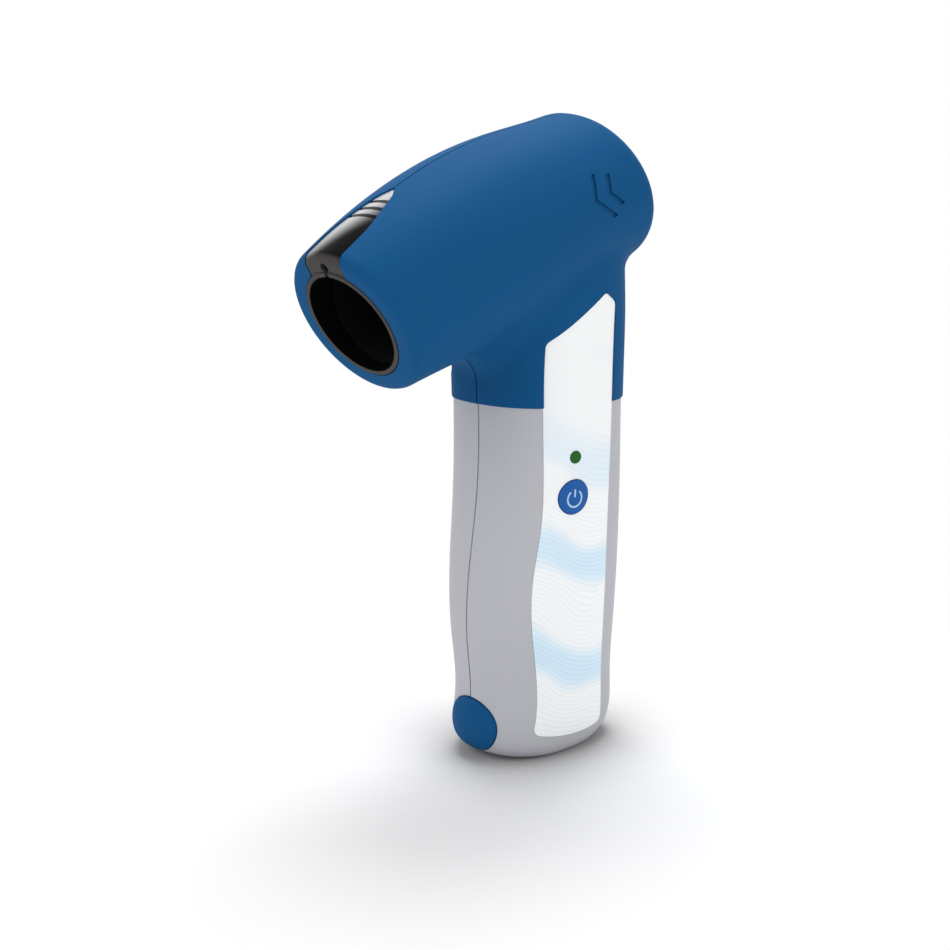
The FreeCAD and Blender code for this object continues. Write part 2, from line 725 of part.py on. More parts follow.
def outlet_ring():
    beyond = BARREL_LENGTH + MOUTH_REACH
    ring = axis_tube(OUTLET_RING_RADIUS, OUTLET_RING_BORE, OUTLET_RING_START, beyond)
    ring = ring.cut(behind(OUTLET, OUTLET_TILT))
    flange_radius = OUTLET_RING_RADIUS + OUTLET_FLANGE
    flange = axis_tube(flange_radius, OUTLET_RING_BORE, OUTLET_RING_START, beyond)
    wall_face = OUTLET - axis_dir(OUTLET_TILT) * (WALL + SEAT_CLEARANCE)
    return ring.fuse(flange.cut(behind(wall_face, OUTLET_TILT)))


def tap_seal(s):
    seal = tap_cylinder(TAP_BOSS_RADIUS, s, TAP_BOSS_END, MANIFOLD_TOP)
    return seal.cut(tap_cylinder(TAP_HOLE_RADIUS, s, 0, MANIFOLD_TOP + 1))


def bar_under_sleeve(start, end, top, height, half_width):
    plan = [(start, -half_width), (end, -half_width), (end, half_width), (start, half_width)]
    return prism([on_axis(s, x, -top) for s, x in plan], UP * -height)


def tap_manifold():
    start = TAP_FRONT - MANIFOLD_OVERHANG
    end = TAP_REAR + MANIFOLD_OVERHANG
    bar = bar_under_sleeve(start, end, MANIFOLD_TOP, MANIFOLD_HEIGHT, MANIFOLD_HALF_WIDTH)
    for s in (TAP_FRONT, TAP_REAR):
        bar = bar.cut(tap_cylinder(TAP_HOLE_RADIUS, s, 0, MANIFOLD_TOP + MANIFOLD_HEIGHT / 2))
    return bar


def pressure_sensor():
    middle = (TAP_FRONT + TAP_REAR) / 2
    half = SENSOR_SIZE[1] / 2
    top = MANIFOLD_TOP + MANIFOLD_HEIGHT
    body = bar_under_sleeve(middle - half, middle + half, top, SENSOR_SIZE[2], SENSOR_SIZE[0] / 2)
    corners = [e for e in body.Edges if abs(e.Length - SENSOR_SIZE[2]) < 0.001]
    return body.makeChamfer(SENSOR_CORNER, corners)


# Electronics in the handle


def main_board():
    size = (BOARD_THICKNESS, 2 * BOARD_HALF_DEPTH, BOARD_TOP - BOARD_BOTTOM)
    centre = Vector(BOARD_X + BOARD_THICKNESS / 2, 0, (BOARD_TOP + BOARD_BOTTOM) / 2)
    board = centred_box(size, centre)
    corners = [e for e in board.Edges if e.BoundBox.XLength > BOARD_THICKNESS / 2]
    return board.makeFillet(BOARD_CORNER, corners)


def power_switch():
    low = SWITCH_HEIGHT * 0.7
    body = centred_box((low, SWITCH_SIZE, SWITCH_SIZE), Vector(BOARD_FACE + low / 2, BUTTON_Y, BUTTON_Z))
    dome = x_cylinder(SWITCH_DOME_RADIUS, BOARD_FACE, BOARD_FACE + SWITCH_HEIGHT, BUTTON_Y, BUTTON_Z)
    return body.fuse(dome)


def radio_module():
    body = centred_box(RADIO_SIZE, Vector(BOARD_FACE + RADIO_SIZE[0] / 2, 0, RADIO_Z))
    rim = [e for e in body.Edges if e.BoundBox.XMin > BOARD_FACE + RADIO_SIZE[0] / 2]
    return body.makeChamfer(SENSOR_CORNER / 2, rim)


def battery():
    can = Part.makeCylinder(BATTERY_RADIUS, BATTERY_LENGTH, Vector(0, 0, BATTERY_BOTTOM))
    rims = [e for e in can.Edges if e.BoundBox.ZLength < 0.001]
    can = can.makeChamfer(BATTERY_NIPPLE_HEIGHT / 2, rims)
    height = BATTERY_LENGTH + BATTERY_NIPPLE_HEIGHT
    return can.fuse(Part.makeCylinder(BATTERY_NIPPLE_RADIUS, height, Vector(0, 0, BATTERY_BOTTOM)))


def battery_holder():
    """Trough on the back of the board, open towards the left side."""
    radius = BATTERY_RADIUS + HOLDER_CLEARANCE
    half = radius + HOLDER_WALL
    length = BATTERY_LENGTH + BATTERY_NIPPLE_HEIGHT + 2 * HOLDER_CLEARANCE
    low = BATTERY_BOTTOM - HOLDER_CLEARANCE
    corner = Vector(HOLDER_OPEN_X, -half, low - HOLDER_WALL)
    body = Part.makeBox(BOARD_X - HOLDER_OPEN_X, 2 * half, length + 2 * HOLDER_WALL, corner)
    return body.cut(Part.makeCylinder(radius, length, Vector(0, 0, low)))


def charge_socket():
    centre = Vector(0, SOCKET_FACE + SOCKET_LENGTH / 2, SOCKET_Z)
    shell = centred_box((SOCKET_WIDTH, SOCKET_LENGTH, SOCKET_HEIGHT), centre)
    along = [e for e in shell.Edges if e.BoundBox.YLength > SOCKET_LENGTH / 2]
    shell = shell.makeFillet(SOCKET_CORNER, along)
    depth = SOCKET_LENGTH - 2 * SOCKET_WALL
    width = SOCKET_WIDTH - 2 * SOCKET_WALL
    height = SOCKET_HEIGHT - 2 * SOCKET_WALL
    hollow = centred_box((width, depth, height), Vector(0, SOCKET_FACE + depth / 2, SOCKET_Z))
    along = [e for e in hollow.Edges if e.BoundBox.YLength > depth / 2]
    hollow = hollow.makeFillet(SOCKET_CORNER - SOCKET_WALL, along)
    pin = centred_box((width / 2, depth, SOCKET_PIN_THICKNESS), Vector(0, SOCKET_FACE + depth * 0.7, SOCKET_Z))
    return shell.cut(hollow).fuse(pin.common(shell))


def charge_board():
    top = SOCKET_Z - SOCKET_HEIGHT / 2
    y = SOCKET_FACE + CHARGE_BOARD_SETBACK + CHARGE_BOARD_SIZE[1] / 2
    return centred_box(CHARGE_BOARD_SIZE, Vector(0, y, top - CHARGE_BOARD_SIZE[2] / 2))


def shell_screw(y, z):
    top = SCREW_SEAT_X - SCREW_HEAD_HEIGHT
    head = x_cylinder(SCREW_HEAD_RADIUS, top, SCREW_SEAT_X, y, z)
    shank = x_cylinder(SCREW_RADIUS, top + SCREW_HEAD_HEIGHT / 2, SCREW_REACH, y, z)
    arm = 1.3 * SCREW_HEAD_RADIUS
    slot = centred_box((SCREW_HEAD_HEIGHT, arm, SCREW_CROSS), Vector(top, y, z))
    cross = centred_box((SCREW_HEAD_HEIGHT, SCREW_CROSS, arm), Vector(top, y, z))
    return head.fuse(shank).cut(slot.fuse(cross))


def build():
    pieces = {}
    pieces.update(head_shells())
    pieces.update(handle_shells())
    pieces["keypad_label"] = keypad_label()
    pieces["power_button"] = power_button()
    pieces["status_lamp"] = status_lamp()
    pieces["port_cover"] = port_cover()
    pieces["flow_tube"] = flow_tube()
    pieces["ring_and_tongue"] = ring_and_tongue()
    pieces["capillary_core"] = capillary_core()
    pieces["core_ring_front"] = core_ring(CORE_START - CORE_RING_LENGTH)
    pieces["core_ring_rear"] = core_ring(CORE_START + CORE_LENGTH)
    pieces["cartridge_sleeve"] = cartridge_sleeve()
    pieces["outlet_ring"] = outlet_ring()
    pieces["tap_seal_front"] = tap_seal(TAP_FRONT)
    pieces["tap_seal_rear"] = tap_seal(TAP_REAR)
    pieces["tap_manifold"] = tap_manifold()
    pieces["pressure_sensor"] = pressure_sensor()
    pieces["main_board"] = main_board()
    pieces["power_switch"] = power_switch()
    pieces["radio_module"] = radio_module()
    pieces["battery"] = battery()
    pieces["battery_holder"] = battery_holder()
    pieces["charge_socket"] = charge_socket()
    pieces["charge_board"] = charge_board()
    for i, (y, z) in enumerate(HANDLE_SCREWS + HEAD_SCREWS):
        pieces["shell_screw_%d" % (i + 1)] = shell_screw(y, z)
    return pieces


os.makedirs("parts", exist_ok=True)
for name, shape in build().items():
    if len(shape.Solids) == 1:
        shape = shape.Solids[0]
    print(name, shape.isValid(), len(shape.Solids), round(shape.Volume, 1))
    shape.exportStep("parts/%s.step" % name)
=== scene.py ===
# %% [markdown]
# A handheld spirometer
# The real object is a moulded plastic instrument that stands on the foot of its
# handle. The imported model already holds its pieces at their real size, so this
# lesson loads them as a fixed frame, gives each one a finish, and adds the few
# printed and moulded details that belong on top. All lengths are in metres.

# %% Load the frame
import json
import math

import bmesh
import bpy
import numpy as np
from mathutils import Matrix, Vector


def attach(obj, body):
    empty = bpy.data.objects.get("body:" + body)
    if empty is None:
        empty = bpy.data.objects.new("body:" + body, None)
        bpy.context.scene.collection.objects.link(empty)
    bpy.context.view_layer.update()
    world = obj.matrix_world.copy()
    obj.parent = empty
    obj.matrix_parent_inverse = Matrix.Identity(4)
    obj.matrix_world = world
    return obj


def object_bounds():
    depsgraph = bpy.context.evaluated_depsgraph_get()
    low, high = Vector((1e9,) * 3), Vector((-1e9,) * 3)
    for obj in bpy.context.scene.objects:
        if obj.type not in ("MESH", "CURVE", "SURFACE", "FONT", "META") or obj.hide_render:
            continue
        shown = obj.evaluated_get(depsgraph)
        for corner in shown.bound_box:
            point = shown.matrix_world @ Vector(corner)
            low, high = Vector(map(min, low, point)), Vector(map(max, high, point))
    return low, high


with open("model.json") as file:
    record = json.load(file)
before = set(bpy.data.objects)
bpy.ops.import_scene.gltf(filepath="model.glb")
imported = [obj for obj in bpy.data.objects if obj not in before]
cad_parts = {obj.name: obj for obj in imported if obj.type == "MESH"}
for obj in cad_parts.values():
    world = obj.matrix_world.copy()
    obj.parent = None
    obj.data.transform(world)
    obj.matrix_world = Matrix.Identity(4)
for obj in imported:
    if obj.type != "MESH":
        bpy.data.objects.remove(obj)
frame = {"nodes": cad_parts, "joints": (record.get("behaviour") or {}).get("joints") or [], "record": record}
nodes = frame["nodes"]
cad_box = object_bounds()
MM = 0.001

# %% [markdown]
# The flow axis
# Air runs through the head along one line, which the cartridge slides on. The
# frame gives its direction in the joint, and the mouthpiece socket gives a
# point on it. Everything on the head is placed along this line.

# %% Read the flow axis from the frame
slide = next(j for j in frame["joints"] if j["name"] == "cartridge_slide")
port = next(m for m in frame["record"]["mounts"] if m["name"] == "mouthpiece_port")
FLOW = -np.array(slide["axis"], float)
FLOW /= np.linalg.norm(FLOW)
PORT = np.array(port["pos_m"], float)
print("flow axis", FLOW.round(4), "through", PORT.round(4))

# %% [markdown]
# The camera
# The photograph is taken with a long lens, a little above the object and from
# its front right. The camera is set by the point that it looks at, the turn
# about that point, and the distance. The lens follows from the picture's width.

# %% Set up the camera
PICTURE_WIDTH = 950
FOCAL_PIXELS = 1500
CAMERA_TURN = math.radians(46.99)
CAMERA_HEIGHT = math.radians(11.91)
CAMERA_ROLL = math.radians(0.10)
CAMERA_DISTANCE = 0.47457
LOOKS_AT = Vector((-0.01895, -0.00712, 0.08418))


def add_camera():
    """The camera stands on a sphere round its target, and rolls about its line of sight."""
    data = bpy.data.cameras.new("camera")
    data.sensor_width = 36.0
    data.lens = data.sensor_width * FOCAL_PIXELS / PICTURE_WIDTH
    data.clip_start = 0.01
    camera = bpy.data.objects.new("camera", data)
    bpy.context.scene.collection.objects.link(camera)
    flat = math.cos(CAMERA_HEIGHT)
    back = Vector((math.sin(CAMERA_TURN) * flat, -math.cos(CAMERA_TURN) * flat, math.sin(CAMERA_HEIGHT)))
    camera.location = LOOKS_AT + back * CAMERA_DISTANCE
    turn = (-back).to_track_quat("-Z", "Y").to_matrix().to_4x4()
    camera.matrix_world = Matrix.Translation(camera.location) @ turn @ Matrix.Rotation(CAMERA_ROLL, 4, "Z")
    bpy.context.scene.camera = camera
    print("camera at", [round(v, 4) for v in camera.location])


add_camera()

# %% [markdown]
# Node helpers
# A material is a tree of small steps. These helpers add a node, set its
# sockets and join it to others in one line, so that each finish below reads
# like a recipe.

# %% Helpers for shader nodes
def add_node(tree, kind, inputs=None, **settings):
    """Adds a node; inputs maps a socket to a value or to another node's output."""
    node = tree.nodes.new(kind)
    for name, value in settings.items():
        setattr(node, name, value)
    for name, value in (inputs or {}).items():
        if isinstance(value, bpy.types.NodeSocket):
            tree.links.new(value, node.inputs[name])
        else:
            node.inputs[name].default_value = value
    return node


def math_node(tree, operation, *values):
    """One sum on numbers or outputs, and the socket that holds its result."""
    return add_node(tree, "ShaderNodeMath", dict(enumerate(values)), operation=operation).outputs[0]


def ramp(tree, value, low, high):
    """Smooth step from 0 at low to 1 at high."""
    inputs = {"Value": value, "From Min": low, "From Max": high}
    return add_node(tree, "ShaderNodeMapRange", inputs, interpolation_type="SMOOTHSTEP").outputs["Result"]


def blend_colours(tree, share, first, second):
    """Colour that goes from the first to the second as share goes from 0 to 1."""
    node = tree.nodes.new("ShaderNodeMix")
    node.data_type = "RGBA"
    for socket, value in ((node.inputs[0], share), (node.inputs[6], first), (node.inputs[7], second)):
        if isinstance(value, bpy.types.NodeSocket):
            tree.links.new(value, socket)
        elif isinstance(value, (int, float)):
            socket.default_value = value
        else:
            socket.default_value = (*value, 1.0)
    return node.outputs[2]


def new_material(name, **constants):
    """A material with one Principled shader, whose fixed sockets are set directly."""
    material = bpy.data.materials.new(name)
    material.use_nodes = True
    shader = material.node_tree.nodes["Principled BSDF"]
    for socket, value in constants.items():
        shader.inputs[socket.replace("_", " ")].default_value = value
    return material, material.node_tree, shader


def place(tree):
    """Object coordinates: metres from the part's own origin."""
    return tree.nodes.new("ShaderNodeTexCoord").outputs["Object"]


print("node helpers ready")

# %% [markdown]
# Moulded skin
# Injection-moulded plastic is never quite smooth. Its mould was spark eroded,
# which leaves a fine, even grain, and handling leaves faint patches that are a
# little shinier than the rest. One node group makes both for every moulded
# piece, with the grain's size and depth as inputs.

# %% Build the moulded skin group
PATCHES_PER_METRE = 45.0
PATCH_GLOSS = 1.5


def build_skin_group():
    """Grain height from a fine noise, and slow patches that change tone and gloss."""
    tree = bpy.data.node_groups.new("moulded_skin", "ShaderNodeTree")
    face = tree.interface
    numbers = {"Grain Size": 0.4 * MM, "Grain Depth": 0.5, "Gloss": 0.4, "Patchiness": 0.05}
    for name, value in numbers.items():
        face.new_socket(name, in_out="INPUT", socket_type="NodeSocketFloat").default_value = value
    face.new_socket("Colour", in_out="INPUT", socket_type="NodeSocketColor")
    face.new_socket("Colour", in_out="OUTPUT", socket_type="NodeSocketColor")
    face.new_socket("Roughness", in_out="OUTPUT", socket_type="NodeSocketFloat")
    face.new_socket("Height", in_out="OUTPUT", socket_type="NodeSocketFloat")
    given = tree.nodes.new("NodeGroupInput").outputs
    put = tree.nodes.new("NodeGroupOutput").inputs
    where = place(tree)
    per_metre = math_node(tree, "DIVIDE", 1.0, given["Grain Size"])
    fine = add_node(tree, "ShaderNodeTexNoise", {"Vector": where, "Scale": per_metre, "Detail": 2.0})
    slow = add_node(tree, "ShaderNodeTexNoise", {"Vector": where, "Scale": PATCHES_PER_METRE, "Detail": 3.0})
    around = math_node(tree, "SUBTRACT", slow.outputs["Fac"], 0.5)
    patch = math_node(tree, "MULTIPLY", around, given["Patchiness"])
    level = math_node(tree, "ADD", 1.0, patch)
    tone = add_node(tree, "ShaderNodeHueSaturation", {"Value": level, "Color": given["Colour"]})
    rough = math_node(tree, "MULTIPLY_ADD", patch, PATCH_GLOSS, given["Gloss"])
    tree.links.new(tone.outputs["Color"], put["Colour"])
    tree.links.new(rough, put["Roughness"])
    tree.links.new(math_node(tree, "MULTIPLY", fine.outputs["Fac"], given["Grain Depth"]), put["Height"])
    return tree


skin_group = build_skin_group()
print("group", skin_group.name, "has", len(skin_group.nodes), "nodes")

# %% Make a moulded material from a colour
GRAIN_RELIEF = 0.1 * MM


def moulded(name, colour, gloss, size=0.4 * MM, patchiness=0.05, bump=0.1, **constants):
    """A plastic or rubber with the shared skin. The colour is linear, and the size is the grain's."""
    material, tree, shader = new_material(name, **constants)
    skin = tree.nodes.new("ShaderNodeGroup")
    skin.node_tree = skin_group
    skin.inputs["Grain Size"].default_value = size
    skin.inputs["Gloss"].default_value = gloss
    skin.inputs["Patchiness"].default_value = patchiness
    skin.inputs["Colour"].default_value = (*colour, 1.0)
    relief = {"Height": skin.outputs["Height"], "Distance": GRAIN_RELIEF, "Strength": bump}
    height = add_node(tree, "ShaderNodeBump", relief)
    tree.links.new(skin.outputs["Colour"], shader.inputs["Base Color"])
    tree.links.new(skin.outputs["Roughness"], shader.inputs["Roughness"])
    tree.links.new(height.outputs["Normal"], shader.inputs["Normal"])
    return material


def dress(material, *names):
    """Puts one material on CAD nodes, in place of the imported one."""
    for name in names:
        nodes[name].data.materials.clear()
        nodes[name].data.materials.append(material)


print("moulded() and dress() ready")

# %% [markdown]
# Head and handle
# The head is a strong mid blue with a soft satin surface, and the handle is a
# light, slightly cool grey. Both are bare coloured plastic with no paint, so a
# plain dielectric shader with the moulded skin is right for them.

# %% Finish the shells
HEAD_BLUE = (0.0068, 0.084, 0.227)
HANDLE_GREY = (0.50, 0.505, 0.54)
satin = {"bump": 0.12, "Specular_IOR_Level": 0.04}
head_plastic = moulded("head_plastic", HEAD_BLUE, gloss=0.6, **satin)
handle_plastic = moulded("handle_plastic", HANDLE_GREY, gloss=0.45, patchiness=0.03, **satin)
cover_rubber = moulded("cover_rubber", HEAD_BLUE, gloss=0.55, size=0.3 * MM, **satin)
dress(head_plastic, "head_shell_left", "head_shell_right")
dress(handle_plastic, "handle_shell_left", "handle_shell_right")
dress(cover_rubber, "port_cover")
print("shells and cover finished")

# %% [markdown]
# Cartridge
# The ring and its latch tongue are one glossy moulding. Its front face is dark
# grey. On top of the tongue a painted reflection grows from black at the bend to
# silver at the tip, and from right to left. The three grip grooves are left out
# of it and show as painted shade across it. The painted reflection keeps to the
# raised tongue, so the ring under it stays black. The bore is black and matt,
# as are the tube and the core, to swallow light.
# Every border is a distance from the mouth, so the tones follow the shape.

# %% Measure along the cartridge
PORT_DEPTH = 12.05 * MM
BORE_RADIUS = 15.1 * MM
MIDDLE_GROOVE = 17.65 * MM
GROOVE_PITCH = 3.4 * MM
GROOVE_REACH = 1.3 * GROOVE_PITCH
GROOVE_EDGES = (0.5 * MM, 0.9 * MM)
MOUTH_TILT = math.radians(30.8)
MOUTH = PORT - FLOW * PORT_DEPTH
INWARD = np.array([0.0, math.cos(MOUTH_TILT), math.sin(MOUTH_TILT)])
ACROSS = np.array([1.0, 0.0, 0.0])
UPWARD = np.array([0.0, -FLOW[2], FLOW[1]])


def vector_node(tree, operation, first, second):
    """One sum on two vectors, and the node that holds its result."""
    return add_node(tree, "ShaderNodeVectorMath", {0: first, 1: second}, operation=operation)


def measured(tree, direction):
    """Distance from the middle of the mouth, measured along a direction."""
    shift = vector_node(tree, "SUBTRACT", place(tree), tuple(MOUTH)).outputs[0]
    return vector_node(tree, "DOT_PRODUCT", shift, tuple(direction)).outputs["Value"]


def bore_mask(tree):
    """1 on the bore's wall and 0 outside it; a cross product's length is the distance from the axis."""
    shift = vector_node(tree, "SUBTRACT", place(tree), tuple(MOUTH)).outputs[0]
    arm = vector_node(tree, "CROSS_PRODUCT", shift, tuple(FLOW)).outputs[0]
    radius = vector_node(tree, "LENGTH", arm, (0.0, 0.0, 0.0)).outputs["Value"]
    return ramp(tree, radius, BORE_RADIUS + 0.3 * MM, BORE_RADIUS + 0.1 * MM)


def groove_shade_mask(tree, along):
    """1 in the three grooves, where the painted reflection gives way to painted shade: the distance along the
    tongue, folded back and forth by half a pitch.
    """
    shift = math_node(tree, "SUBTRACT", along, MIDDLE_GROOVE)
    beside = math_node(tree, "PINGPONG", shift, GROOVE_PITCH / 2)
    near = math_node(tree, "COMPARE", along, MIDDLE_GROOVE, GROOVE_REACH)
    return math_node(tree, "MULTIPLY", ramp(tree, beside, GROOVE_EDGES[1], GROOVE_EDGES[0]), near)


print("middle of the mouth at", MOUTH.round(4))

# %% Finish the cartridge
RING_GREY = (0.062, 0.058, 0.056)
BEND_BLACK = (0.002, 0.002, 0.002)
# Silver of the painted reflection on the tongue's top.
PAINTED_REFLECTION_SILVER = (0.64, 0.64, 0.65)
# The grooves lose this much of the painted reflection, as painted shade.
GROOVE_PAINTED_SHADE = 0.9
FACE_EDGES = (0.5 * MM, 2.2 * MM)
PAINTED_REFLECTION_SLANT = 2.2
PAINTED_REFLECTION_SPAN = (-2.0 * MM, 25.0 * MM)
PAINTED_REFLECTION_METAL = 0.45
TONGUE_RISE = (18.5 * MM, 20.5 * MM)
TONGUE_ROUGHNESS = 0.25
BORE_ROUGHNESS = 0.70


def tongue_material():
    """Grey face, a slanted painted reflection on the tongue, painted shade in the grooves, and a black bore."""
    material, tree, shader = new_material("ring_plastic", Specular_IOR_Level=0.03)
    along = measured(tree, FLOW)
    slanted = math_node(tree, "MULTIPLY_ADD", measured(tree, ACROSS), -PAINTED_REFLECTION_SLANT, along)
    # Painted shade in the grooves: 1 outside them, lower inside.
    light = math_node(tree, "MULTIPLY_ADD", groove_shade_mask(tree, along), -GROOVE_PAINTED_SHADE, 1.0)
    raised = ramp(tree, measured(tree, UPWARD), *TONGUE_RISE)
    reflection_growth = math_node(tree, "MULTIPLY", ramp(tree, slanted, *PAINTED_REFLECTION_SPAN), raised)
    # Painted reflection: a share from 0 to 1 of silver over the black plastic.
    painted_reflection = math_node(tree, "MULTIPLY", reflection_growth, light)
    top = blend_colours(tree, painted_reflection, BEND_BLACK, PAINTED_REFLECTION_SILVER)
    depth = measured(tree, INWARD)
    outside = blend_colours(tree, ramp(tree, depth, *FACE_EDGES), RING_GREY, top)
    bore = bore_mask(tree)
    tree.links.new(blend_colours(tree, bore, outside, BEND_BLACK), shader.inputs["Base Color"])
    tree.links.new(math_node(tree, "MULTIPLY", painted_reflection, PAINTED_REFLECTION_METAL), shader.inputs["Metallic"])
    rougher = BORE_ROUGHNESS - TONGUE_ROUGHNESS
    rough = math_node(tree, "MULTIPLY_ADD", bore, rougher, TONGUE_ROUGHNESS)
    tree.links.new(rough, shader.inputs["Roughness"])
    return material


tube_plastic = moulded("tube_plastic", (0.004, 0.004, 0.004), gloss=0.6, Specular_IOR_Level=0.2)
core_plastic = moulded("core_plastic", (0.006, 0.006, 0.006), gloss=0.6)
dress(tongue_material(), "ring_and_tongue")
dress(tube_plastic, "flow_tube", "outlet_ring", "cartridge_sleeve")
dress(core_plastic, "capillary_core", "core_ring_front", "core_ring_rear")
print("cartridge finished")

# %% [markdown]
# Keypad label
# The label is a printed film: white, with soft pale-blue light in it. The
# design here is a plain one, made of slow ripples that cross the film and fade
# towards its top, with fine parallel lines in them. A sine of the height, bent
# by the depth, makes the ripples, and a noise makes them uneven.

# %% Finish the keypad label
LABEL_WHITE = (0.97, 0.98, 0.985)
LABEL_BLUE = (0.42, 0.74, 0.97)
RIPPLE_LENGTH = 34 * MM
RIPPLE_SWAY = 6 * MM
RIPPLE_UNEVEN = 20 * MM
RIPPLE_STRENGTH = 0.55
LINE_LENGTH = 1.6 * MM
LINE_STRENGTH = 0.18
SWAYS_PER_METRE = 95.0
SWAY_START = 0.7
SOFT_PER_METRE = 28.0
FADE_HEIGHTS = (50 * MM, 140 * MM)


def label_material():
    """Ripples and fine lines in pale blue on white, under a clear gloss."""
    material, tree, shader = new_material("label_film", Roughness=0.3, Coat_Weight=0.3, Coat_Roughness=0.12)
    split = add_node(tree, "ShaderNodeSeparateXYZ", {"Vector": place(tree)})
    y, z = split.outputs["Y"], split.outputs["Z"]
    soft = add_node(tree, "ShaderNodeTexNoise", {"Vector": place(tree), "Scale": SOFT_PER_METRE, "Detail": 1.0})
    bend = math_node(tree, "SINE", math_node(tree, "MULTIPLY_ADD", y, SWAYS_PER_METRE, SWAY_START))
    sway = math_node(tree, "MULTIPLY_ADD", bend, RIPPLE_SWAY, z)
    uneven = math_node(tree, "MULTIPLY_ADD", soft.outputs["Fac"], RIPPLE_UNEVEN, sway)
    wave = math_node(tree, "SINE", math_node(tree, "MULTIPLY", uneven, 2 * math.pi / RIPPLE_LENGTH))
    ripple = ramp(tree, wave, -0.2, 1.0)
    lines = math_node(tree, "SINE", math_node(tree, "MULTIPLY", uneven, 2 * math.pi / LINE_LENGTH))
    line = math_node(tree, "MULTIPLY", ramp(tree, lines, 0.2, 1.0), LINE_STRENGTH)
    fade = ramp(tree, z, FADE_HEIGHTS[1], FADE_HEIGHTS[0])
    both = math_node(tree, "MULTIPLY_ADD", ripple, RIPPLE_STRENGTH, line)
    share = math_node(tree, "MULTIPLY", both, fade)
    tree.links.new(blend_colours(tree, share, LABEL_WHITE, LABEL_BLUE), shader.inputs["Base Color"])
    return material


dress(label_material(), "keypad_label")
print("label finished")

# %% [markdown]
# Button and lamp
# The button is a glossy saturated blue cap, and the lamp is a small unlit green
# lens. Both are clear gloss plastic, so they have less grain than the shells.

# %% Finish the button and the lamp
BUTTON_BLUE = (0.008, 0.100, 0.376)
LAMP_GREEN = (0.014, 0.115, 0.008)
glossy = {"gloss": 0.3, "Specular_IOR_Level": 0.2}
button_plastic = moulded("button_plastic", BUTTON_BLUE, patchiness=0.03, bump=0.04, **glossy)
lamp_plastic = moulded("lamp_plastic", LAMP_GREEN, patchiness=0.3, bump=0.02, **glossy)
dress(button_plastic, "power_button")
dress(lamp_plastic, "status_lamp")
print("button and lamp finished")

# %% [markdown]
# Power symbol
# The symbol on the button is printed in thick pale ink: an open ring and a bar
# through its gap. Each stroke is a flat ribbon with round ends, laid on the
# button's own curved face. A second-degree surface through the face's points
# says how far out the ink lies at every place.

# %% Fit the button's face
FACE_DEPTH = 0.8 * MM


def fit_face(node):
    """Least-squares surface x = a + b y + c z + d y^2 + e z^2 + f y z through a node's outer face."""
    mesh = nodes[node].data
    points = np.empty(len(mesh.vertices) * 3)
    mesh.vertices.foreach_get("co", points)
    points = points.reshape(-1, 3)
    middle = (points.max(axis=0) + points.min(axis=0)) / 2
    face = points[points[:, 0] > points[:, 0].max() - FACE_DEPTH]
    y, z = (face[:, 1] - middle[1]) / MM, (face[:, 2] - middle[2]) / MM
    terms = np.stack([np.ones_like(y), y, z, y * y, z * z, y * z], axis=1)
    weights = np.linalg.lstsq(terms, face[:, 0], rcond=None)[0]
    return middle, weights


def on_face(face, y, z, proud):
    """Points on the fitted face at places y and z from its middle, all in metres."""
    middle, weights = face
    a, b = y / MM, z / MM
    x = np.stack([np.ones_like(a), a, b, a * a, b * b, a * b], axis=-1) @ weights
    return np.stack([x + proud, middle[1] + y, middle[2] + z], axis=-1)


button_face = fit_face("power_button")
print("button face at", button_face[0].round(5))

# %% [markdown]
# Grids into meshes
# A shape that is a function of two parameters is worked out for a whole grid
# at once. Neighbouring grid points make the quads, and the grid closes on
# itself where the shape does. At a pole many grid points fall together, and
# they are joined into one, so that no end stays open.

# %% Helper that turns a grid of points into a mesh
JOIN_DISTANCE = 0.001 * MM


def grid_mesh(name, points):
    """Mesh of quads over a grid of points with shape (u, v, 3), which closes on itself along v."""
    count_u, count_v = points.shape[:2]
    index = np.arange(count_u * count_v).reshape(count_u, count_v)
    index = np.hstack([index, index[:, :1]])
    corners = (index[:-1, :-1], index[1:, :-1], index[1:, 1:], index[:-1, 1:])
    quads = np.stack(corners, axis=-1).reshape(-1, 4)
    mesh = bpy.data.meshes.new(name)
    mesh.from_pydata(points.reshape(-1, 3), [], quads)
    work = bmesh.new()
    work.from_mesh(mesh)
    bmesh.ops.remove_doubles(work, verts=work.verts, dist=JOIN_DISTANCE)
    work.to_mesh(mesh)
    work.free()
    return mesh


def add_piece(name, mesh, material, body):
    """Links a mesh as a piece that rides on a body and is shaded smooth."""
    mesh.materials.append(material)
    mesh.shade_smooth()
    piece = bpy.data.objects.new(name, mesh)
    bpy.context.scene.collection.objects.link(piece)
    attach(piece, body)
    print(name, "has", len(mesh.polygons), "faces")


# %% Print the power symbol
SYMBOL_RADIUS = 2.55 * MM
SYMBOL_DROP = 0.45 * MM
SYMBOL_GAP = math.radians(34)
INK_HALF_WIDTH = 0.30 * MM
INK_PROUD = 0.05 * MM
INK_DEPTH = 0.06 * MM


def ink_stroke(name, path):
    """Ribbon along a path of (y, z): an ellipse swept along it, that narrows to round ends."""
    step = np.gradient(path, axis=0)
    step /= np.linalg.norm(step, axis=1, keepdims=True)
    across = np.stack([-step[:, 1], step[:, 0]], axis=1)
    along = np.concatenate([[0.0], np.cumsum(np.linalg.norm(np.diff(path, axis=0), axis=1))])
    from_end = np.minimum(along, along[-1] - along)
    narrow = np.clip(from_end / INK_HALF_WIDTH, 0.0, 1.0)
    scale = np.sqrt(1.0 - (1.0 - narrow) ** 2)[:, None]
    around = np.linspace(0.0, -2 * math.pi, 16, endpoint=False)
    side = INK_HALF_WIDTH * scale * np.cos(around)
    place_at = path[:, None, :] + across[:, None, :] * side[..., None]
    height = scale * np.where(np.sin(around) > 0, INK_PROUD, INK_DEPTH) * np.sin(around)
    points = on_face(button_face, place_at[..., 0], place_at[..., 1], height)
    return grid_mesh(name, points)


